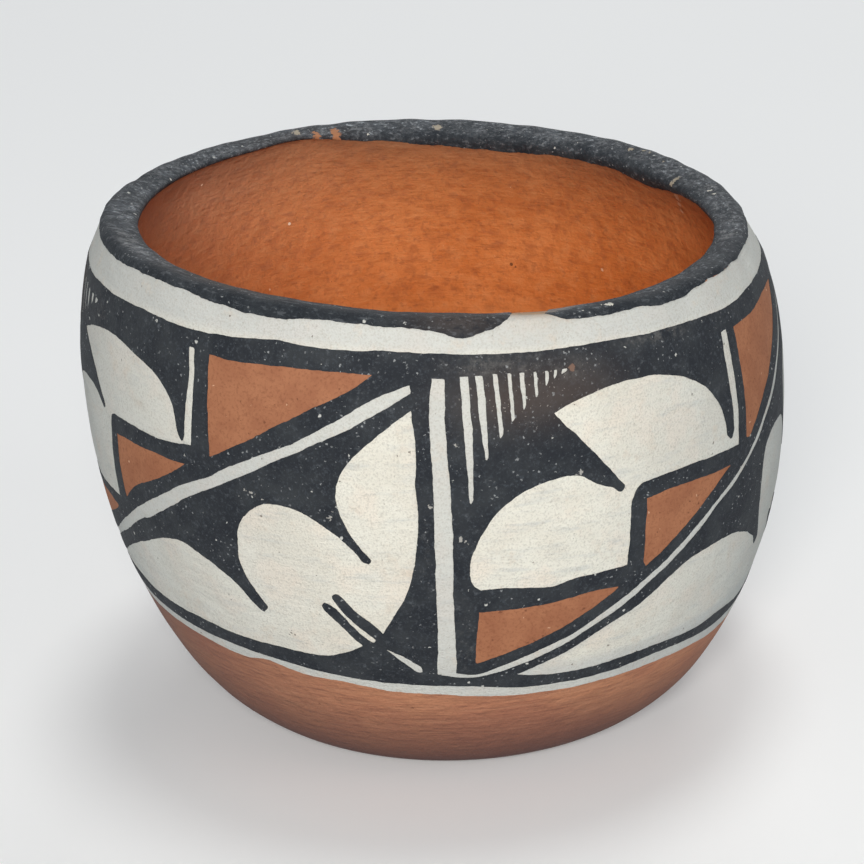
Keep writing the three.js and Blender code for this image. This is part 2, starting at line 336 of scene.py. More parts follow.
SLIP_BOTTOM = periodic([
    (-60, 22.2), (-45, 21.8), (-38, 21.3), (-32, 22.1), (-25, 21.2), (-18, 21.1), (-10, 20.1),
    (0, 19.4), (6, 18.8), (18, 18.5), (30, 18.6), (41, 18.6), (48, 18.3), (60, 17.4), (75, 17.6),
    (95, 18.1), (120, 18.5), (150, 19.5), (180, 20.1), (210, 20.9), (240, 21.3), (270, 22.1),
])

# The four panels between the dividers; the two in front are drawn, the two behind repeat them
PANELS = [-91.2, 1.0, 93.2, 181.0, 268.8]


def moved(points, source, target):
    """Points of one panel carried to another: across by the panels' widths, and up or down with the
    band's lower line near it."""
    p = np.array(points, float)
    scale = (PANELS[target + 1] - PANELS[target]) / (PANELS[source + 1] - PANELS[source])
    theta = PANELS[target] + (p[:, 0] - PANELS[source]) * scale
    fade = np.clip((62 - p[:, 1]) / 38, 0, 1)
    fade = fade * fade * (3 - 2 * fade)
    z = p[:, 1] + (LINE_BOTTOM(theta) - LINE_BOTTOM(p[:, 0])) * fade
    return np.column_stack([theta, z])


LEAF_A = [
    [(-68, 65.8), (-62.7, 66.8), (-57.3, 66.8), (-52.7, 66.1), (-47.3, 64.8), (-43.7, 62.7),
     (-42.3, 60.2), (-41.7, 57.4)],
    [(-40.8, 56.3), (-40.2, 57.2)],
    [(-39.8, 60.8), (-39.2, 66.1), (-39.5, 70.1)],
    [(-38.3, 70.1)],
    [(-38.2, 66.9), (-38.3, 61.3), (-38.8, 56.1)],
    [(-46.5, 55.2), (-55, 55.1), (-59.7, 54.9), (-60.7, 53.6)],
    [(-61.2, 48.8), (-61.5, 41.3)],
    [(-66.7, 41.1), (-72, 40.5), (-80, 40), (-86.6, 40.8)],
    [(-87.6, 42.5), (-87.4, 45.5)],
    [(-85.7, 50), (-81.9, 53.8), (-76.4, 56), (-70, 56.8), (-66.3, 56.2), (-64, 54.7)],
    [(-63.3, 54.6), (-62.9, 55.2)],
    [(-64.7, 57.2), (-67.3, 59.8), (-70.3, 62), (-73.9, 64)],
]
LEAF_B = [
    [(21.3, 65.6), (26.7, 66.9), (32, 67.4), (37.3, 67.1), (42.3, 65.6), (46.3, 63.4), (49.2, 60.2),
     (50.5, 57), (50.9, 54.5)],
    [(51.9, 53.6), (52.9, 55)],
    [(52.8, 58.6), (52.7, 65.5), (53, 69.6)],
    [(54.5, 69.7)],
    [(54.4, 65.5), (54.4, 60), (54.3, 56), (54.1, 52.1)],
    [(44.7, 52.5), (37.3, 52.4), (32.2, 51.8), (30.4, 49.7)],
    [(30.1, 45), (29.8, 39.3)],
    [(25.3, 39.1), (20.7, 38.9), (16.7, 38.2), (11.3, 38.6), (6.0, 38.6)],
    [(5.2, 39.3)],
    [(4.7, 40.2)],
    [(4.8, 43.6), (5.7, 45.8), (8, 49.7), (10.5, 52), (14, 54), (18, 55), (22, 55), (24.7, 53.4),
     (27.3, 52.3)],
    [(28.5, 51.4), (29.3, 52.2)],
    [(27.8, 54), (26.3, 55.9), (23, 59.7), (20, 62.9), (18.6, 64.6)],
]
LOBE_A = [
    [(-76, 27), (-70, 29), (-62.7, 32.6), (-55, 36.1), (-48.3, 38.9), (-44, 39.8), (-40, 39),
     (-34, 36.3), (-31, 33.4)],
    [(-29.3, 31.9), (-28.1, 32.9)],
    [(-30, 35.6), (-31.7, 39.4), (-31.5, 43.3), (-30.7, 46.2), (-28.3, 48.8), (-25, 50.2), (-20, 49.7),
     (-15, 46.8), (-12.3, 44.4), (-11.2, 43)],
    [(-10.2, 42.8), (-9.8, 43.4)],
    [(-11.5, 45.4), (-13.7, 49.1), (-14.4, 53), (-13.3, 56.6), (-10, 60.2), (-6, 63.4), (-2.6, 65.9)],
    [(-2.3, 60), (-2.6, 55.8), (-2.5, 50.2), (-3.3, 44), (-5.2, 37.7), (-9.3, 31.1)],
    [(-10, 32), (-11.7, 33.4), (-13.3, 34.8), (-15.1, 36.9), (-16.2, 37.1), (-16.6, 36.4),
     (-15.7, 34.9), (-13.3, 32.3), (-10.5, 29.9)],
    [(-11.1, 29.3)],
    [(-12.7, 30.6), (-14, 32), (-15.8, 34.2), (-17.2, 35.2), (-18.2, 35.4), (-18.3, 34.4),
     (-16.3, 32.4), (-14, 29.8), (-12.7, 28.6)],
    [(-15, 27.4), (-18.3, 26.1), (-22, 25.6), (-28.7, 25.7), (-36, 25.7), (-45, 26.1), (-55, 26.1),
     (-64.3, 26.6), (-73, 26.5), (-80.5, 26.2)],
]
DIAGONAL_A = [
    [(-85.3, 27.5), (-80, 28.8), (-70, 32.9), (-60.7, 38.1), (-52.7, 43), (-45, 47.4), (-40, 50.2),
     (-36, 52), (-30, 55.4), (-20.3, 60.1), (-12.7, 64.4), (-8, 67.2), (-2.7, 69.2)],
    [(-2.5, 68.2)],
    [(-4.7, 66.9), (-12.7, 62.4), (-20, 58.7), (-26.7, 55.1), (-34.3, 51.1), (-40, 48.1), (-50, 42),
     (-55, 39.7), (-62, 35.5), (-72, 30.8), (-78.7, 28.1), (-85.3, 25.9), (-92, 24.4)],
    [(-91.6, 26.3)],
]
DIAGONAL_B = [
    [(4.7, 23.5), (8, 24.4), (12.3, 25.9), (17.7, 28), (22.7, 30.1), (30, 34.1), (35, 36.8),
     (42.3, 41.3), (48, 44.9), (54.7, 48.1), (60, 51.3), (68, 56.3), (74, 60.2), (80.7, 64.7),
     (86, 67.9), (90.2, 69.6)],
    [(90.4, 68.6)],
    [(85, 66.1), (79, 62.4), (72, 57.4), (65.3, 53.4), (58, 49.1), (53, 46.3), (48, 44), (44, 41.1),
     (37.3, 36.9), (30, 32.7), (25, 30.1), (18, 26.9), (13.3, 25.1), (8.3, 23.6), (4, 22.9),
     (-0.8, 23.5)],
    [(0.5, 24.2)],
]
DIVIDER = [
    [(0, 65.5), (-0.1, 53), (-0.5, 41), (-0.8, 31.3), (-1.3, 23.6)],
    [(1.7, 23.7)],
    [(1.9, 27), (1.9, 35.5), (2.4, 50.2), (2.2, 62.7), (2.5, 70.1)],
    [(0.6, 70.1)],
]
DASH = [
    [(-6.7, 27.2), (-3.8, 25.1)],
    [(-3.7, 24.1), (-4.6, 24.1)],
    [(-7, 26.3), (-9.1, 28.4)],
]
OCHRE_A = {
    "upper": [
        [(-30, 69.8), (-20, 70.3), (-8.2, 70.4)],
        [(-12.3, 67.7), (-20, 63.8), (-28.3, 59), (-35.2, 55.2)],
        [(-35.2, 58.6), (-35.4, 68.3), (-35.3, 69.9)],
    ],
    "middle": [
        [(-50.3, 52.6), (-40.3, 52.9)],
        [(-46, 49.4), (-53.7, 45.6), (-58.3, 42.2)],
        [(-58.8, 47.4), (-58.7, 52.2)],
    ],
}
OCHRE_B = {
    "upper": [
        [(65.3, 69.7), (72, 70.4), (80.3, 70.2)],
        [(75.3, 65.8), (69.7, 61.3), (62.7, 56), (57.7, 52.2)],
        [(56.6, 52.3)],
        [(56.7, 58.6), (56.8, 69.4)],
    ],
    "middle": [
        [(39.7, 49.9), (51.7, 49.6)],
        [(48, 47.7), (42.3, 43.8), (37.3, 40.6), (33.3, 38.2)],
        [(32.8, 40.2), (33.2, 49.4)],
    ],
    "lower": [
        [(15, 35.2), (23.7, 36.2), (28.5, 36)],
        [(27, 34.8), (19.3, 30.8), (11.3, 27.6), (5, 25.6)],
        [(5.2, 28.6), (5.7, 34.9)],
    ],
}
# Upright lines: angle and height of the top and of the foot, width at the top and at the foot in degrees
HATCH_A = [
    (-86.6, 70.2, -86.6, 53, 1.2, 0.5), (-84, 70.2, -83.8, 58, 1.1, 0.5),
    (-81.4, 70.1, -81.2, 61.5, 0.9, 0.6), (-78.9, 70, -78.7, 63.8, 0.8, 0.5),
    (-76.4, 69.9, -76.3, 65.4, 0.8, 0.5), (-73.9, 69.7, -73.8, 66.6, 1, 0.5),
    (-71.1, 69.7, -71.3, 67.9, 1.1, 0.6), (-68.4, 69.8, -68.9, 68.8, 1.4, 0.7),
]
HATCH_B = [
    (5.5, 70.3, 5.4, 52.3, 1.24, 0.5), (7.7, 70.4, 8, 58.6, 1.1, 0.5),
    (10.15, 70.5, 10.4, 61.7, 0.7, 0.65), (12.3, 70.5, 12.3, 63.8, 0.6, 0.5),
    (14.25, 70.5, 14.2, 65.4, 0.7, 0.4), (16.35, 70.4, 16.2, 66.9, 0.5, 0.5),
    (18.2, 70.4, 18, 68.3, 0.6, 0.4), (19.65, 70.4, 19.4, 69.2, 0.5, 0.4),
    (21.2, 70.4, 20.8, 69.7, 0.9, 0.5),
]


def hatch(row):
    top, high, foot, low, wide, narrow = row
    middle, turn = (high + low) / 2, low + min(0.9 * narrow * ARC + 0.1, (high - low) / 3)
    left = [((top + foot) / 2 - 0.48 * wide, middle), (foot - narrow / 2, turn)]
    cut = [(foot - 0.4 * narrow, low), (foot + narrow / 2, turn)]
    right = [((top + foot) / 2 + 0.48 * wide, middle), (top + wide / 2, high)]
    return [left, cut, right, [(top - wide / 2, high)]]


def carry(strokes, source, target):
    return [moved(stroke, source, target) for stroke in strokes]


def lobe_b():
    """The second panel's lobes: its own where the front shows them, and the first panel's beyond."""
    shared = slice(3, 9)
    start, *beyond = carry([LOBE_A[shared.start - 1][-1:], *LOBE_A[shared]], 0, 1)
    return [
        [(15, 24.1), (21.3, 26.6), (27.3, 29.5), (33, 31.9), (39, 35.2), (43.3, 36.9), (48, 37.5),
         (52.7, 37.5), (58, 36.1), (64, 32.9)],
        [(65.6, 30.9), (66.8, 31.8)],
        [(65.2, 35), (63.9, 38.5), (63.2, 43), (63.7, 47.4), (66.7, 49.5), (71.3, 50.1), (76, 49),
         tuple(start[0])],
        *beyond,
        [(76, 23.4), (71, 21.9), (66, 21.3), (60, 21.9), (55.3, 22.2), (48, 22), (38, 22.5), (31.3, 22.3),
         (25.3, 22), (18, 22), (11.8, 22.8)],
    ]


def panel_outlines(panel):
    """White and ochre outlines of one panel, in (degrees, z)."""
    if panel in (0, 3):
        white = [LEAF_A, LOBE_A, DIAGONAL_A, DASH, *map(hatch, HATCH_A)]
        ochre = {**OCHRE_A, "lower": carry(OCHRE_B["lower"], 1, 0)}
        source = 0
    else:
        white = [LEAF_B, lobe_b(), DIAGONAL_B, carry(DASH, 0, 1), *map(hatch, HATCH_B)]
        ochre = OCHRE_B
        source = 1
    white = [outline(carry(w, source, panel)) for w in white]
    white.append(outline(carry(DIVIDER, 1, panel)))
    ochre = {place: outline(carry(o, source, panel)) for place, o in ochre.items()}
    return white, ochre


# The wander of a brush edge: how far, and over what length
BRUSH_WANDER = [(0.13, 3.1), (0.07, 1.1), (0.06, 0.55)]


def brushed(flat, rough=1.0):
    """A drawn line in (arc, s) with the small wander of a brush edge."""
    out = np.array(flat, float)
    for k, (a, s) in enumerate(out):
        turn = a / ARC * DEGREE
        round_ = Vector((BELLY_RADIUS * math.cos(turn), BELLY_RADIUS * math.sin(turn), s))
        for reach, size in BRUSH_WANDER:
            push = noise.noise_vector(round_ / size)
            out[k] += (rough * reach * push.x, rough * reach * push.z)
    return out


def flat_outline(line, gap=0.38):
    """An outline in (degrees, z) as evenly spaced points in (arc, s)."""
    flat = np.column_stack([line[:, 0] * ARC, s_at(line[:, 0], line[:, 1])])
    closed = spaced(np.vstack([flat, flat[:1]]), gap)[:-1]
    return brushed(closed)


def within(points, polygon):
    """Which points lie inside a closed polygon."""
    low, high = polygon.min(0), polygon.max(0)
    near = np.where(((points >= low) & (points <= high)).all(1))[0]
    x, y = points[near, 0], points[near, 1]
    odd = np.zeros(len(near), bool)
    for (x0, y0), (x1, y1) in zip(polygon, np.roll(polygon, -1, 0)):
        if y0 == y1:
            continue
        cross = (y0 > y) != (y1 > y)
        odd ^= cross & (x < x0 + (y - y0) * (x1 - x0) / (y1 - y0))
    result = np.zeros(len(points), bool)
    result[near[odd]] = True
    return result


def grown(flat, gap):
    """An outline moved outwards by a gap."""
    ahead, behind = np.roll(flat, -1, 0), np.roll(flat, 1, 0)
    along = ahead - behind
    along /= np.maximum(np.linalg.norm(along, axis=1), 1e-9)[:, None]
    area = 0.5 * np.sum(flat[:, 0] * ahead[:, 1] - ahead[:, 0] * flat[:, 1])
    side = 1 if area > 0 else -1
    return flat + gap * side * np.column_stack([along[:, 1], -along[:, 0]])


def fill_points(edge, rim, grid):
    """Rows of points over a coat, closer on the uneven rim, that keep clear of its edges."""
    low, high = edge.min(0), edge.max(0)
    rows = [low[1] + grid / 2]
    while rows[-1] < high[1]:
        rows.append(rows[-1] + (LIP_GRID if rows[-1] > S_UNEVEN else grid * 0.866))
    cells = {}
    for p in rim:
        cells.setdefault((int(p[0] // 1), int(p[1] // 1)), []).append(p)
    fill = []
    for k, row in enumerate(rows):
        gap = LIP_GRID * 1.4 if row > S_UNEVEN else grid
        for across in np.arange(low[0] + gap * (0.5 + 0.5 * (k % 2)), high[0], gap):
            cx, cy = int(across // 1), int(row // 1)
            near = [q for dx in (-1, 0, 1) for dy in (-1, 0, 1) for q in cells.get((cx + dx, cy + dy), ())]
            if all((across - q[0]) ** 2 + (row - q[1]) ** 2 > EDGE_CLEAR for q in near):
                fill.append((across, row))
    return fill


def flat_mesh(edge, holes, grid, seam):
    """Points and triangles in (arc, s) of the area inside an edge, less the holes."""
    rim = np.vstack([edge, *holes])
    links, start = [], 0
    for n in map(len, [edge, *holes]):
        links += [(start + i, start + (i + 1) % n) for i in range(n)]
        start += n
    flat = [*map(tuple, rim), *fill_points(edge, rim, grid)]
    made = delaunay_2d_cdt([Vector(p) for p in flat], links, [], 0, 1e-5)
    verts = np.array([tuple(v) for v in made[0]])
    faces = np.array([f for f in made[2] if len(f) == 3])
    middle = verts[faces].mean(1)
    keep = within(middle, edge)
    for hole in holes:
        keep &= ~within(middle, hole)
    faces = faces[keep]
    a, b, c = (verts[faces[:, k]] for k in range(3))
    area = (b[:, 0] - a[:, 0]) * (c[:, 1] - a[:, 1]) - (b[:, 1] - a[:, 1]) * (c[:, 0] - a[:, 0])
    faces, area = faces[np.abs(area) > 1e-7], area[np.abs(area) > 1e-7]
    faces[area < 0] = faces[area < 0][:, ::-1]
    if seam is not None:
        first = np.where(np.abs(verts[:, 0] - seam) < 1e-4)[0]
        last = np.where(np.abs(verts[:, 0] - seam - 360 * ARC) < 1e-4)[0]
        same = np.arange(len(verts))
        for i in last:
            same[i] = first[np.argmin(np.abs(verts[first, 1] - verts[i, 1]))]
        faces = same[faces]
    used, faces = np.unique(faces, return_inverse=True)
    return verts[used], faces.reshape(-1, 3)


def film(name, edge, holes, coat, grid, material, seam=None, extras=None):
    """A closed thin coat on the wall: the area inside edge, less the holes, all in (arc, s). With a seam,
    the coat runs right round and its first and last columns, seam apart, are joined."""
    verts, faces = flat_mesh(edge, holes, grid, seam)
    pairs = {(p, q) for f in faces for p, q in ((f[0], f[1]), (f[1], f[2]), (f[2], f[0]))}
    border = sorted((p, q) for p, q in pairs if (q, p) not in pairs)
    base, top, edge_lift = coat
    lift = np.full(len(verts), float(top))
    lift[[p for p, q in border] + [q for p, q in border]] = edge_lift
    theta, s = verts[:, 0] / ARC, verts[:, 1]
    upper, normals = skin(theta, s, lift)
    lower, _ = skin(theta, s, np.full(len(verts), float(base)))
    n = len(verts)
    side_faces = [(q, p, p + n, q + n) for p, q in border]
    polygons = [*map(tuple, faces), *map(tuple, faces[:, ::-1] + n), *side_faces]
    mesh = bpy.data.meshes.new(name)
    mesh.from_pydata([tuple(p) for p in np.vstack([upper, lower]) * MM], [], polygons)
    mesh.polygons.foreach_set("use_smooth", [True] * len(polygons))
    for key, value in (extras or {}).items():
        layer = mesh.attributes.new(key, "FLOAT", "POINT")
        layer.data.foreach_set("value", np.tile(value(theta, s), 2).astype(np.float32))
    mesh.materials.append(material)
    mesh.update()
    out = np.vstack([normals, -normals])
    corners = np.array([corner.vertex_index for corner in mesh.loops])
    chosen = out[corners]
    first_side = len(faces) * 6
    chosen[first_side:] = out[corners[first_side:] % n]
    mesh.normals_split_custom_set([tuple(v) for v in chosen])
    return in_scene(name, mesh)


def ring(low, high, start, gap=0.55):
    """The edge of a coat that runs right round between two lines, cut open at an angle."""
    turn = np.linspace(start, start + 360, int(360 * ARC / gap) + 1)
    bottom, top = (np.column_stack([turn * ARC, line(turn)]) for line in (low, high))
    for side in (bottom, top):
        side[:, 1] = brushed(side)[:, 1]
    count = max(3, int((top[0, 1] - bottom[0, 1]) / gap))
    up = np.linspace(bottom[0, 1], top[0, 1], count)[1:-1]
    right = np.column_stack([np.full(len(up), bottom[-1, 0]), up])
    left = np.column_stack([np.full(len(up), bottom[0, 0]), up[::-1]])
    return np.vstack([bottom, right, top[::-1], left])


def spots(places):
    """A value that is high near a few places: (degrees, s, reach in mm, strength)."""
    def value(theta, s):
        total = np.zeros(len(theta))
        for angle, at, reach, strength in places:
            across = ((theta - angle + 180) % 360 - 180) * ARC
            total += strength * np.exp(-(across**2 / (reach[0] ** 2) + (s - at) ** 2 / (reach[1] ** 2)))
        return np.clip(total, 0, 1)
    return value


# Materials
def linear(*rgb):
    """A colour from its 0-255 screen values."""
    c = [v / 255 for v in rgb]
    return [*((v / 12.92 if v <= 0.04045 else ((v + 0.055) / 1.055) ** 2.4) for v in c), 1.0]


def add_node(tree, kind, inputs=None, **settings):
    made = tree.nodes.new(kind)
    for key, value in settings.items():
        setattr(made, key, value)
    for key, value in (inputs or {}).items():
        if isinstance(value, bpy.types.NodeSocket):
            tree.links.new(value, made.inputs[key])
        else:
            made.inputs[key].default_value = value
    return made


class Finish:
    """A procedural material and short calls for its nodes. Its lengths are in millimetres."""

    def __init__(self, name, roughness, specular):
        self.material = bpy.data.materials.new(name)
        self.material.use_nodes = True
        self.tree = self.material.node_tree
        self.shader = self.tree.nodes["Principled BSDF"]
        self.shader.inputs["Roughness"].default_value = roughness
        self.shader.inputs["Specular IOR Level"].default_value = specular
        metres = self.node("ShaderNodeTexCoord").outputs["Object"]
        self.place = self.vector("MULTIPLY", metres, (1 / MM,) * 3)
        self.ragged = self.shaken(3.2, 1.0, 0.25)

    def node(self, kind, inputs=None, **settings):
        return add_node(self.tree, kind, inputs, **settings)

    def vector(self, operation, *values):
        return self.node("ShaderNodeVectorMath", dict(enumerate(values)), operation=operation).outputs[0]

    def measured(self, operation, *values):
        """A length or distance."""
        inputs = dict(enumerate(values))
        return self.node("ShaderNodeVectorMath", inputs, operation=operation).outputs["Value"]

    def math(self, operation, a, b):
        return self.node("ShaderNodeMath", {0: a, 1: b}, operation=operation).outputs[0]

    def mix(self, share, a, b):
        return self.node("ShaderNodeMix", {0: share, 6: a, 7: b}, data_type="RGBA").outputs[2]

    def attribute(self, name):
        return self.node("ShaderNodeAttribute", attribute_name=name).outputs["Fac"]

    def shaken(self, scale, detail, reach):
        """The place on the piece, pushed about by up to a reach, for ragged edges."""
        push = self.node("ShaderNodeTexNoise", {"Vector": self.place, "Scale": scale, "Detail": detail})
        push = self.vector("MULTIPLY_ADD", push.outputs["Color"], (2 * reach,) * 3, (-reach,) * 3)
        return self.vector("ADD", self.place, push)

    def stretched(self, x, y, z, shift=0.0):
        """The place on the piece for noise with features x, y and z long."""
        return self.vector("ADD", self.vector("MULTIPLY", self.place, (1 / x, 1 / y, 1 / z)), (shift,) * 3)

    def noise(self, size, detail, rough, vector=None, shift=0.0):
        """Noise with features about a size across."""
        where = vector or self.stretched(1, 1, 1, shift)
        inputs = {"Vector": where, "Scale": 1 / size, "Detail": detail, "Roughness": rough}
        return self.node("ShaderNodeTexNoise", inputs).outputs["Fac"]

    def between(self, value, low, high):
        """0 below low, 1 above high, smooth between."""
        inputs = {"Value": value, "From Min": low, "From Max": high}
        return self.node("ShaderNodeMapRange", inputs, interpolation_type="SMOOTHSTEP").outputs["Result"]

    def at_least(self, value, low):
        """A value from 0 to 1, squeezed into low to 1."""
        return self.math("ADD", self.math("MULTIPLY", value, 1 - low), low)

    def specks(self, cell, radius, share, shift=0.0):
        """Small dots of many sizes in a share of the cells of a random pattern."""
        where = self.vector("ADD", self.ragged, (shift,) * 3)
        cells = self.node("ShaderNodeTexVoronoi", {"Vector": where, "Scale": 1 / cell}).outputs
        chance = self.node("ShaderNodeSeparateColor", {0: cells["Color"]}).outputs
        size = self.math("MULTIPLY", self.math("ADD", chance[1], 0.35), radius / cell)
        dot = self.between(self.math("DIVIDE", cells["Distance"], size), 1, 0.6)
        return self.math("MULTIPLY", dot, self.math("GREATER_THAN", chance[0], 1 - share))

    def marks(self, places, ragged=0.8):
        """Small patches with ragged edges: (degrees, s, reach)."""
        where = self.shaken(2.2, 3.0, ragged)
        total = None
        for angle, s, reach in places:
            point = tuple(skin([angle], np.array([s]), 0)[0][0])
            patch = self.between(self.measured("DISTANCE", where, point), reach * 1.1, reach * 0.75)
            total = self.math("MAXIMUM", total, patch) if total else patch
        return total

    def layered(self, colour, *layers):
        """Lays colours over another in turn: (share from 0 to 1, strength at most, screen colour)."""
        for share, strength, rgb in layers:
            colour = self.mix(self.math("MULTIPLY", share, strength), colour, linear(*rgb))
        return colour

    def summed(self, *parts):
        """The sum of values, each times its weight."""
        total = None
        for value, weight in parts:
            part = self.math("MULTIPLY", value, weight)
            total = self.math("ADD", total, part) if total else part
        return total

    def done(self, colour, height, depth):
        """Joins colour, and height times depth of relief, to the shader."""
        bump = self.node("ShaderNodeBump", {"Height": height, "Distance": depth * MM, "Strength": 1.0})
        self.tree.links.new(bump.outputs["Normal"], self.shader.inputs["Normal"])
        self.tree.links.new(colour, self.shader.inputs["Base Color"])
        return self.material


def fired_clay():
    """Scraped clay: outside, painted shade towards the foot, darker and browner at the left and the back;
    inside, rubbed, with painted shade under the rim and painted light towards the floor.
    """
    f = Finish("fired_clay_finish", 0.72, 0.28)
    blotch = f.noise(15, 3, 0.5)
    fine = f.noise(0.45, 2, 0.6)
    grain = f.noise(2.6, 3, 0.58, shift=13)
    pits = f.noise(1.1, 2, 0.5, shift=71)
    streak = f.noise(1, 5, 0.7, f.stretched(6, 6, 0.45))
    stroke = f.noise(1, 3, 0.55, f.stretched(3.4, 3.4, 1.6, 30))
    outer = f.layered(
        f.mix(f.between(blotch, 0.36, 0.66), linear(190, 131, 97), linear(178, 118, 90)),
        (f.between(streak, 0.48, 0.68), 0.6, (138, 89, 71)),
        (f.between(streak, 0.5, 0.32), 0.35, (206, 150, 118)),
        # darker, browner clay outside at the left and towards the back
        (f.attribute("darker_left_and_back"), 0.9, (98, 74, 72)),
        # painted shade, purplish brown, darkening the outside towards the foot
        (f.attribute("painted_shade_toward_foot"), 0.95, (96, 67, 64)),
    )
    inner = f.layered(
        f.mix(f.between(blotch, 0.36, 0.68), linear(224, 136, 70), linear(210, 120, 53)),
        (f.between(grain, 0.48, 0.7), 0.45, (224, 146, 86)),
        (f.between(grain, 0.5, 0.32), 0.4, (172, 92, 44)),
        (f.between(stroke, 0.53, 0.72), 0.45, (164, 86, 42)),
        (f.between(pits, 0.54, 0.72), 0.4, (156, 84, 44)),
        (f.attribute("pale_haze"), 0.75, (190, 150, 130)),
        # painted light: the inside lighter low down towards the floor
        (f.attribute("painted_light_toward_floor"), 0.7, (240, 173, 108)),
        # painted shade: the inside darker below the overhanging rim
        (f.attribute("painted_shade_under_rim"), 0.9, (118, 87, 66)),
    )
    colour = f.layered(
        f.mix(f.attribute("inside"), outer, inner),
        (f.between(fine, 0.5, 0.78), 0.2, (116, 70, 46)),
        (f.specks(3.0, 0.24, 0.1), 0.7, (236, 204, 172)),
        (f.specks(2.3, 0.24, 0.2, 40), 0.6, (104, 58, 40)),
        (f.marks(CLAY_DRIP), 0.55, (202, 172, 144)),
        (f.marks(CLAY_PITS, 0.15), 0.8, (86, 48, 32)),
        (f.marks(CLAY_WHITE_SPECKS, 0.15), 0.9, (244, 226, 204)),
    )
    relief = f.summed((streak, 0.5), (grain, 1.5), (fine, 0.3), (stroke, 1.4), (pits, -0.5))
    return f.done(colour, relief, 0.24)


def white_slip():
    """Brushed slip with warm and cool clouds, fine sand and dark grains."""
    f = Finish("white_slip_finish", 0.8, 0.2)
    cloud = f.noise(9, 4, 0.55)
    sand = f.noise(0.3, 2, 0.6)
    brush = f.noise(1, 5, 0.65, f.stretched(7, 7, 1.3))
    mottle = f.noise(3.0, 5, 0.7, shift=8)
    blush = f.noise(6, 3, 0.5, shift=44)
    colour = f.layered(
        f.mix(f.between(cloud, 0.35, 0.68), linear(239, 235, 221), linear(231, 225, 210)),
        (f.between(blush, 0.48, 0.64), 0.4, (244, 228, 210)),
        # painted shade in cool grey under the lip, low down and to the sides; thinly brushed slip on
        # narrow lines
        (f.attribute("thin"), 0.66, (194, 197, 196)),
        (f.between(brush, 0.5, 0.75), 0.6, (202, 203, 198)),
        (f.between(mottle, 0.53, 0.75), 0.5, (218, 202, 183)),
        (f.between(sand, 0.45, 0.7), 0.45, (184, 178, 166)),
        (f.specks(0.8, 0.11, 0.3), 0.45, (138, 128, 114)),
        (f.specks(1.9, 0.17, 0.4, 3), 0.8, (98, 84, 70)),
        (f.marks(SLIP_DOTS, 0.1), 0.7, (96, 84, 72)),
    )
    haze = f.mix(f.between(f.noise(1.1, 4, 0.7), 0.4, 0.65), linear(184, 148, 116), linear(146, 132, 114))
    colour = f.mix(f.attribute("stain"), colour, haze)
    return f.done(colour, f.summed((sand, 0.5), (brush, 0.7), (mottle, 0.8)), 0.27)


def lip_wear(f, wear, dust):
    """Scuffs that follow the lip, with painted highlights of its ripples along them, and the places where
    its paint has gone.
    """
    along = f.node("ShaderNodeCombineXYZ", {0: f.attribute("arc"), 1: f.attribute("across")}).outputs[0]
    strokes = f.noise(1.0, 4, 0.62, along)
    patches = f.between(f.noise(4.2, 4, 0.65, shift=90), 0.44, 0.62)
    bare = f.math("MULTIPLY", wear, f.at_least(patches, 0.2))
    # pale dashes along the lip: scuffs, and painted highlights of its rippled face
    lines = f.math("MULTIPLY", f.between(strokes, 0.56, 0.64), f.at_least(bare, 0.13))
    broken = f.math("MULTIPLY", f.marks(LIP_BARE["dust"], 1.5), f.between(strokes, 0.38, 0.6))
    return [
        (bare, 0.42, (112, 118, 125)),
        (dust, 0.5, (134, 136, 139)),
        # pale scuffs with painted highlights
        (lines, 0.85, (182, 187, 192)),
        (f.between(strokes, 0.47, 0.37), 0.6, (36, 40, 46)),
        (f.marks(LIP_BARE["clay"]), 0.9, (180, 124, 88)),
        (broken, 0.6, (128, 129, 130)),
        (f.marks(LIP_BARE["haze"], 1.1), 0.75, (146, 137, 130)),
        (f.marks(LIP_BARE["pale"]), 0.8, (184, 172, 152)),
        (f.marks(LIP_BARE["white"], 0.6), 0.95, (226, 222, 210)),
    ]


def band_wear(f, wear, dust):
    """Dust and grit on the worn and brown places of the band, and its bare spots."""
    grit = f.math("MULTIPLY", f.specks(0.5, 0.1, 0.6, 60), f.attribute("brown"))
    return [
        (dust, 0.28, (130, 126, 120)),
        (grit, 0.8, (172, 164, 156)),
        (f.marks(BAND_BARE["pale"]), 0.8, (190, 186, 178)),
        (f.marks(BAND_BARE["brown"], 0.4), 0.8, (138, 108, 92)),
    ]


def black_paint(name, dark, light, chips, scuffs, depth, own_wear):
    """Matte black paint with pale grains and scuffs, and a coat's own wear."""
    f = Finish(name, 0.7, 0.12)
    wear = f.attribute("wear")
    cloud = f.noise(5, 4, 0.6)
    fine = f.noise(0.45, 3, 0.65)
    rub = f.noise(1.0, 6, 0.75, shift=21)
    veil = f.noise(3.2, 5, 0.7, shift=33)
    worn = f.math("MULTIPLY", f.between(veil, 0.64, 0.44), f.between(wear, 0.03, 0.7))
    dust = f.math("MULTIPLY", worn, f.between(rub, 0.44, 0.6))
    cluster = f.between(f.noise(7, 3, 0.6, shift=50), 0.42, 0.6)
    dots = f.math("MULTIPLY", f.specks(0.75, 0.16, 0.6, 27), f.math("MAXIMUM", cluster, wear))
    colour = f.layered(
        f.mix(f.between(cloud, 0.35, 0.7), linear(*dark), linear(*light)),
        (f.between(fine, 0.5, 0.75), 0.7, (74, 79, 85)),
        (f.between(rub, 0.54, 0.76), scuffs, (116, 121, 126)),
        (f.attribute("brown"), 0.5, (94, 80, 72)),
        *own_wear(f, wear, dust),
        (dots, 0.7, (176, 178, 178)),
        (f.specks(1.0, 0.15, chips, 5), 0.6, (144, 146, 146)),
        (f.specks(2.0, 0.25, chips * 0.7, 15), 0.9, (214, 213, 206)),
    )
    return f.done(colour, f.summed((fine, 0.5), (rub, 0.9), (veil, 0.8)), depth)


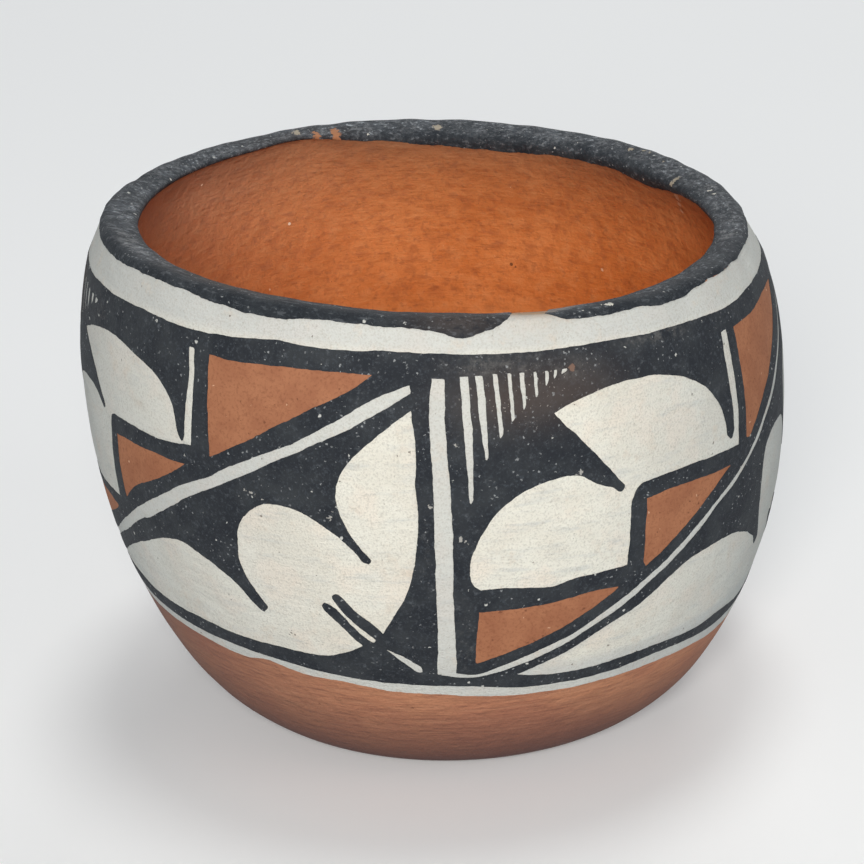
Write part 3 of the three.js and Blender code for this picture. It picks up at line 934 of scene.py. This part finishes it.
def ochre_paint():
    """Matte ochre with dark and pale grains."""
    f = Finish("ochre_paint_finish", 0.76, 0.22)
    cloud = f.noise(4, 4, 0.6)
    fine = f.noise(0.42, 3, 0.65)
    colour = f.layered(
        f.mix(f.between(cloud, 0.35, 0.68), linear(175, 117, 84), linear(162, 105, 75)),
        (f.between(fine, 0.46, 0.72), 0.55, (128, 78, 53)),
        (f.specks(1.2, 0.2, 0.4, 19), 0.6, (102, 58, 40)),
        (f.specks(1.8, 0.2, 0.35, 9), 0.8, (228, 190, 158)),
    )
    return f.done(colour, f.summed((fine, 0.5), (cloud, 1)), 0.16)


# Small marks that use and age have left
def past_crest(*rows):
    """Places given as (degrees, mm past the lip's crest, ...), in s."""
    return [(angle, S_CREST + past, *rest) for angle, past, *rest in rows]


def at_height(*rows):
    """Places given as (degrees, height, ...), in s."""
    return [(angle, s_of(z), *rest) for angle, z, *rest in rows]


CLAY_DRIP = past_crest((113.4, 5.6, 0.9), (113.6, 6.9, 0.8), (114.6, 8.4, 0.6), (115.4, 9.8, 0.5))
CLAY_PITS = past_crest((163.7, 28.6, 0.3), (162.8, 29.0, 0.2))
CLAY_WHITE_SPECKS = past_crest((-150.2, 20.1, 0.28), (-127.4, 9.4, 0.22))
SLIP_DOTS = at_height((-24.9, 29.0, 0.2), (-24.3, 28.8, 0.17), (-24.7, 29.5, 0.14), (-25.3, 28.6, 0.13))
LIP_BARE = {
    "clay": past_crest(
        (-156.4, 2.9, 0.6), (-156.4, 4.3, 0.65), (-156.4, 5.5, 0.65),
        (-160.6, 2.8, 0.85), (-160.6, 4.3, 0.85), (-160.6, 5.5, 0.85),
    ),
    "haze": past_crest(
        (21.4, 1.3, 1.1), (23.0, 2.2, 1.5), (25.4, 2.8, 1.3), (28.4, 2.9, 1.0), (13.5, 2.6, 0.7),
    ),
    "dust": past_crest(
        (-72, 1.6, 1.3), (-68, 1.2, 1.7), (-64.5, 1.2, 1.5), (-61, 1.6, 1.1),
        (77, 1.6, 1.5), (79.6, 2.2, 1.0), (105.3, 0.8, 1.0),
    ),
    "pale": past_crest(
        (-152.6, 1.4, 0.8), (177.5, 2.6, 0.8), (133.5, 1.3, 0.6), (130.5, 0.4, 0.45), (129, 0.4, 0.4),
        (123.5, 1.3, 0.35), (114.2, 4.5, 0.6), (114.6, 3.6, 0.5), (114.3, 2.9, 0.3),
    ),
    "white": past_crest(
        (-167.8, 4.2, 0.3), (166.9, 2.9, 0.28), (30.7, 0.3, 0.26), (31.2, 0.1, 0.32), (31.7, -0.15, 0.4),
        (32.1, -0.4, 0.38), (32.1, 0.2, 0.26), (103.5, 1.6, 0.4), (101.5, 1.3, 0.35),
    ),
}
BAND_BARE = {
    "pale": at_height(
        (-15.5, 49.5, 0.35), (-15.0, 50.3, 0.25), (-0.6, 52, 0.3), (3.5, 61, 0.3), (3.5, 47, 0.35),
        (4.3, 46.5, 0.25), (22, 55.5, 0.4), (21.2, 55.2, 0.3), (-29, 51.6, 0.22), (-28.2, 51.3, 0.25),
        (-27.4, 51.0, 0.22), (-26, 50.7, 0.2),
    ),
    "brown": at_height((22.3, 70.4, 0.55)),
}


# The clay body
def clay_layers(turn, s, z):
    """Where the clay changes colour, each from 0 to 1: inside, painted shade under the rim, painted light
    towards the floor, a pale haze at the left inside, painted shade towards the foot, and darker outside
    at the left and the back."""
    inside = np.clip((s - S_CREST - 1) / 2.5, 0, 1)
    foot = np.clip((17 - z) / 15, 0, 1) * (1 - inside) * np.where(s < S[FOOT_ROWS], 0.4, 1)
    below_lip = np.clip(s - S[LIP_END], 0, None)
    front, right = np.cos(turn * DEGREE), np.sin(turn * DEGREE)
    shade = 0.45 * np.exp(-below_lip / 5) + 0.55 * np.exp(-below_lip / 24)
    haze_side = np.clip(-np.sin((turn + 20) * DEGREE), 0, 1) ** 3
    behind = 0.5 - 0.5 * np.cos((turn - 8) * DEGREE) - 0.35 * right
    return {
        "inside": inside,
        # painted shade outside towards the foot, weaker under the foot
        "painted_shade_toward_foot": foot,
        # painted shade inside, below the overhanging rim
        "painted_shade_under_rim": inside * shade * (0.55 - 0.35 * front + 0.15 * right),
        "pale_haze": inside * np.exp(-below_lip / 22) * haze_side,
        # painted light inside, low down towards the floor
        "painted_light_toward_floor": inside * np.clip((48 - z) / 24, 0, 1),
        # darker outside at the left and towards the back
        "darker_left_and_back": np.clip(1.35 * behind - 0.15, 0, 1),
    }


def clay_bowl():
    """The whole wall as one closed mesh of every other column."""
    columns = COLUMNS // 2
    grid = POINTS[:-1:2] * MM
    verts = [tuple(grid[0, 0])]
    verts += [tuple(grid[i, j]) for j in range(1, ROWS - 1) for i in range(columns)]
    verts.append(tuple(grid[0, -1]))

    def at(i, j):
        return 1 + (j - 1) * columns + i % columns

    faces = []
    for i in range(columns):
        faces.append((0, at(i + 1, 1), at(i, 1)))
        faces += [(at(i, j), at(i + 1, j), at(i + 1, j + 1), at(i, j + 1)) for j in range(1, ROWS - 2)]
        faces.append((at(i, ROWS - 2), at(i + 1, ROWS - 2), len(verts) - 1))
    mesh = bpy.data.meshes.new("clay_bowl")
    mesh.from_pydata(verts, [], faces)
    mesh.polygons.foreach_set("use_smooth", [True] * len(faces))
    s = np.concatenate([[0], np.repeat(S[1:-1], columns), [S[-1]]])
    z = np.concatenate([[0], np.repeat(PROFILE[1:-1, 1], columns), [FLOOR_HEIGHT]])
    turn = np.concatenate([[0], np.tile(np.arange(columns) * 360 / columns, ROWS - 2), [0]])
    for key, values in clay_layers(turn, s, z).items():
        mesh.attributes.new(key, "FLOAT", "POINT").data.foreach_set("value", values.astype(np.float32))
    mesh.materials.append(fired_clay())
    mesh.update()
    return in_scene("clay_bowl", mesh)


finish_piece(clay_bowl(), "clay_body")

# White slip, from its lower edge up under the lip paint, and over the lip where that paint is missing
GAP_ANGLE, GAP_REACH = 18.0, 5.0
OVER_THE_LIP = 5.6
UNDER_LIP_PAINT = 0.75
SLIP_SEAM = 137.0


def slip_top(theta):
    under = s_at(theta, RIM_EDGE(theta)) + UNDER_LIP_PAINT
    bare = np.exp(-(((theta - GAP_ANGLE + 180) % 360 - 180) / GAP_REACH) ** 6)
    return under + (S_CREST + OVER_THE_LIP - under) * bare


slip_stain = spots([
    *past_crest(
        (15.5, 2.9, (3.0, 2.2), 0.95), (18.6, 2.8, (2.6, 2.3), 0.95), (21.5, 2.2, (2.8, 2.4), 1),
        (23.5, 3, (2, 3), 1), (18, -1.5, (4, 2.5), 0.12),
    ),
    *at_height((-51, 59, (1.2, 0.5), 0.3), (22.2, 70.5, (0.5, 0.5), 0.6)),
])
LINE_STEP = 0.8
NARROW_LINES = np.vstack([
    flat_outline(line, LINE_STEP)
    for panel in range(len(PANELS) - 1)
    for line in panel_outlines(panel)[0][2:]
])


def thin_slip_and_painted_shade(theta, s):
    """How grey the slip is: thinly brushed on narrow lines, and painted shade under the lip, low down and
    to the sides.
    """
    near = np.full(len(theta), 9.0)
    for i, (angle, at) in enumerate(zip(theta, s)):
        across = (angle * ARC - NARROW_LINES[:, 0] + 180 * ARC) % (360 * ARC) - 180 * ARC
        near[i] = np.sqrt((across**2 + (at - NARROW_LINES[:, 1]) ** 2).min())
    lines = np.clip((2.6 - near) / 1.3, 0, 1)
    left = np.clip(-np.sin((theta + 15) * DEGREE), 0, 1)
    right = np.clip(1.2 * np.sin((theta - 22) * DEGREE), 0, 1)
    low = np.clip((s_of(25) - s) / 2, 0, 1)
    upper = 0.9 * np.clip((s - s_of(72.5)) / 2, 0, 1)
    return np.clip(upper + 0.8 * lines + 0.8 * low + 0.9 * left + 0.9 * right, 0, 1)


slip = film(
    "white_slip_coat", ring(lambda t: s_at(t, SLIP_BOTTOM(t)), slip_top, SLIP_SEAM), [], SLIP_COAT, 1.25,
    white_slip(), SLIP_SEAM * ARC, {"stain": slip_stain, "thin": thin_slip_and_painted_shade},
)
finish_piece(slip, "white_slip_band")

# Black paint over the lip, open at the front where it has gone
S_INNER_EDGE = S[LIP_END]
INNER_DROP = periodic([
    (-172, -0.3), (-164, -0.3), (-154, -0.4), (-140, -0.4), (-124, -0.35), (-108, -0.3), (-92, -0.3),
    (-60, -0.1), (-30, -0.3), (0, -0.3), (30, -0.4), (55, -0.3), (76, -0.35), (92, -0.35), (108, -0.3),
    (116, 0.3), (124, 1.1), (132, 0.4), (148, 0.4), (164, 1.0), (178, 0.4),
])
LIP_PAINT_STEP = 0.55


def lip_paint_edge():
    """The outline of the lip's paint: along its lower edge from the gap, and back along the inner edge."""
    low_turn = np.arange(24.2, 372.0, LIP_PAINT_STEP)
    inner_turn = np.arange(375.0, 23.9, -LIP_PAINT_STEP)
    edge = [
        (23.4, S_INNER_EDGE + 0.1),
        *past_crest(
            (22.8, 4.2), (22.0, 2.8), (21.0, 1.5), (20.0, 0.5), (20.9, -0.5), (22.0, -1.2), (23.1, -1.6),
        ),
        *zip(low_turn, s_at(low_turn, RIM_EDGE(low_turn))),
        *past_crest((373.3, -0.6), (374.1, 0.5), (374.7, 1.6), (375.2, 2.8), (375.5, 4.2)),
        (375.6, S_INNER_EDGE + 0.1),
        *zip(inner_turn, S_INNER_EDGE + INNER_DROP(inner_turn)),
    ]
    return np.array(edge) * (ARC, 1)


rim_wear = spots(past_crest(
    (-90, 2.0, (18, 3.0), 1), (-60, 2.2, (10, 2.2), 0.9), (-20, 1.4, (14, 0.9), 0.4),
    (150, 1.6, (16, 3.0), 0.7), (90, 1.6, (20, 3.0), 0.75), (205, 1.6, (20, 3.2), 0.7),
    (-125, 1.6, (18, 3.0), 0.9), (45, 2.0, (20, 1.6), 0.5), (180, 1.5, (22, 3.0), 0.6),
    (120, 1.2, (12, 2.4), 0.8), (23.5, 2.6, (5, 2.5), 1), (14, 2.5, (2, 1.4), 0.8),
))
rim_brown = spots(past_crest(
    (-34, 2.6, (22, 1.8), 0.8), (8, 2.4, (8, 1.8), 0.5), (5, -0.8, (7, 2.4), 0.8),
    (-152, 3, (14, 2.5), 0.4),
))
# Scuffs, and painted highlights along them, run along the lip in front, across it at the left, and are
# short round the rest
SCUFF_AND_GLINT_TURN = np.arange(0.0, 400.0)
SCUFF_AND_GLINT_LEFT = np.exp(-(((SCUFF_AND_GLINT_TURN - 265) / 32) ** 4))
SCUFF_AND_GLINT_FRONT = np.exp(-(((SCUFF_AND_GLINT_TURN - 345) / 42) ** 4))
SCUFF_AND_GLINT_PACE = 1 / (1.4 + 1.4 * SCUFF_AND_GLINT_FRONT - 0.6 * SCUFF_AND_GLINT_LEFT)
SCUFF_AND_GLINT_PLACE = np.cumsum(SCUFF_AND_GLINT_PACE) * ARC


def scuff_and_glint_along(theta, s):
    return np.interp(theta % 360, SCUFF_AND_GLINT_TURN, SCUFF_AND_GLINT_PLACE)


def scuff_and_glint_across(theta, s):
    left = np.interp(theta % 360, SCUFF_AND_GLINT_TURN, SCUFF_AND_GLINT_LEFT)
    return (s - S_CREST) / (0.75 + 1.5 * left)


rim = film(
    "lip_black_coat", brushed(lip_paint_edge(), 1.6), [], LIP_COAT, 1.1,
    black_paint("lip_paint_finish", (38, 42, 47), (54, 58, 62), 0.45, 0.4, 0.3, lip_wear),
    extras={"wear": rim_wear, "brown": rim_brown, "arc": scuff_and_glint_along, "across": scuff_and_glint_across},
)
finish_piece(rim, "rim_black_paint")

# Ochre patches and the black band that frames them
OCHRE_UNDER_BAND = 0.3
ochre = ochre_paint()
openings = []
for panel in range(len(PANELS) - 1):
    white, patches = panel_outlines(panel)
    openings += [flat_outline(w) for w in white]
    for place, line in patches.items():
        flat = flat_outline(line)
        openings.append(flat)
        name = f"ochre_{place}_{panel + 1}"
        patch = film(name, grown(flat, OCHRE_UNDER_BAND), [], OCHRE_COAT, 1.3, ochre)
        finish_piece(patch, f"ochre_patch_{place}_{(panel + 3) % 4 + 1}")
seam = PANELS[0] * ARC
openings += [o + (360 * ARC, 0) for o in openings if o[:, 0].min() < seam]
band_worn = spots(at_height(
    (10, 71.8, (8, 1.6), 1.0), (40, 72.4, (9, 1.0), 0.8), (22, 70.2, (2.4, 1.2), 1.0),
    (-66, 68, (5, 4), 0.4), (3.5, 30, (1.5, 8), 0.5), (-1.5, 45, (1, 9), 0.4),
))
band_brown = spots(at_height((12, 67, (8, 4.2), 1), (23, 67.5, (7, 4), 0.7), (-86, 68, (7, 4), 0.8)))
band_edge = ring(lambda t: s_at(t, LINE_BOTTOM(t)), lambda t: s_at(t, LINE_TOP(t)), PANELS[0])
band = film(
    "band_black_coat", band_edge, openings, BAND_COAT, 1.5,
    black_paint("black_paint_finish", (42, 45, 50), (58, 61, 64), 0.5, 0.5, 0.18, band_wear),
    seam, {"wear": band_worn, "brown": band_brown},
)
finish_piece(band, "band_black_paint")

# Floor and light, in metres and watts; the floor fades into the pale background in millimetres
FLOOR_SIZE = 8
FLOOR_GLOW = 0.08
FLOOR_FADE = 350, 1300
BACKGROUND = 0.82
AMBIENT = 0.17
AIM = Vector((0, 0, 0.04))
# Place, size, power and colour of each soft lamp
LAMPS = {
    "key_light": ((-0.15, -1.88, 0.92), 0.9, 36.5, (1.0, 0.97, 0.94)),
    "top_light": ((0.1, 0.3, 1.95), 0.6, 9, (1.0, 0.985, 0.965)),
    "back_light": ((0.5, 1.7, 1.0), 1.0, 9, (1.0, 0.985, 0.965)),
    "fill_light": ((1.5, -0.8, 1.0), 1.0, 3, (1.0, 1.0, 1.0)),
}


def seen_rays(tree):
    """1 for rays that see the background: straight, in a reflection or through glass."""
    rays = add_node(tree, "ShaderNodeLightPath").outputs
    seen = rays["Is Camera Ray"]
    for kind in ("Is Glossy Ray", "Is Transmission Ray"):
        seen = add_node(tree, "ShaderNodeMath", {0: seen, 1: rays[kind]}, operation="MAXIMUM").outputs[0]
    return seen


def floor_material():
    """A pale matte floor that fades into the pale background away from the object."""
    f = Finish("floor_finish", 0.9, 0.0)
    colour = f.mix(f.noise(60, 2, 0.5), linear(174, 182, 190), linear(180, 187, 194))
    seen = seen_rays(f.tree)
    colour = f.mix(seen, colour, linear(242, 242, 242))
    far = f.math("MULTIPLY", seen, f.between(f.measured("LENGTH", f.place), *FLOOR_FADE))
    colour = f.mix(far, colour, (0, 0, 0, 1))
    glow = f.summed((seen, FLOOR_GLOW), (far, BACKGROUND - FLOOR_GLOW))
    f.shader.inputs["Emission Color"].default_value = (1, 1, 1, 1)
    f.tree.links.new(glow, f.shader.inputs["Emission Strength"])
    return f.done(colour, f.noise(3, 2, 0.5), 0.02)


bpy.ops.mesh.primitive_plane_add(size=FLOOR_SIZE)
floor = bpy.context.object
floor.name = "studio_floor"
floor.data.materials.append(floor_material())

world = bpy.data.worlds.new("studio_world")
bpy.context.scene.world = world
world.use_nodes = True
sky = world.node_tree
shades = {6: (0.70 * AMBIENT, 0.87 * AMBIENT, AMBIENT, 1), 7: (BACKGROUND, BACKGROUND, BACKGROUND, 1)}
shade = add_node(sky, "ShaderNodeMix", {0: seen_rays(sky), **shades}, data_type="RGBA")
sky.links.new(shade.outputs[2], sky.nodes["Background"].inputs["Color"])

for name, (place, size, power, colour) in LAMPS.items():
    lamp = bpy.data.lights.new(name, "AREA")
    lamp.color = colour
    lamp.shape = "DISK"
    lamp.size = size
    lamp.energy = power
    made = in_scene(name, lamp)
    made.location = place
    made.rotation_mode = "QUATERNION"
    made.rotation_quaternion = (AIM - Vector(place)).to_track_quat("-Z", "Y")

# The photograph's viewpoint: distance and height of the line of sight, and its small turns
FOCAL_PIXELS = 2600
DISTANCE, ELEVATION, SIGHT_HEIGHT = 412.9, 21.69, 45.0
PITCH, YAW, ROLL = -0.54, 0.34, 1.01
SENSOR = 36.0

rise = ELEVATION * DEGREE
place = Vector((0, -DISTANCE * math.cos(rise), SIGHT_HEIGHT + DISTANCE * math.sin(rise)))
ahead = Vector((0, math.cos(rise), -math.sin(rise)))
right = Vector((1, 0, 0))
up = right.cross(ahead)
turned = Matrix.Rotation(YAW * DEGREE, 3, up)
ahead, right = turned @ ahead, turned @ right
turned = Matrix.Rotation(PITCH * DEGREE, 3, right)
ahead, up = turned @ ahead, turned @ up
turned = Matrix.Rotation(ROLL * DEGREE, 3, ahead)
right, up = turned @ right, turned @ up
camera_data = bpy.data.cameras.new("photo_camera")
camera_data.sensor_width = SENSOR
camera_data.lens = FOCAL_PIXELS * SENSOR / IMAGE
camera_data.clip_start, camera_data.clip_end = 0.01, 20
camera = in_scene("photo_camera", camera_data)
camera.matrix_world = Matrix.Translation(place * MM) @ Matrix((right, up, -ahead)).transposed().to_4x4()
bpy.context.scene.camera = camera
bpy.context.scene.view_settings.view_transform = "Standard"
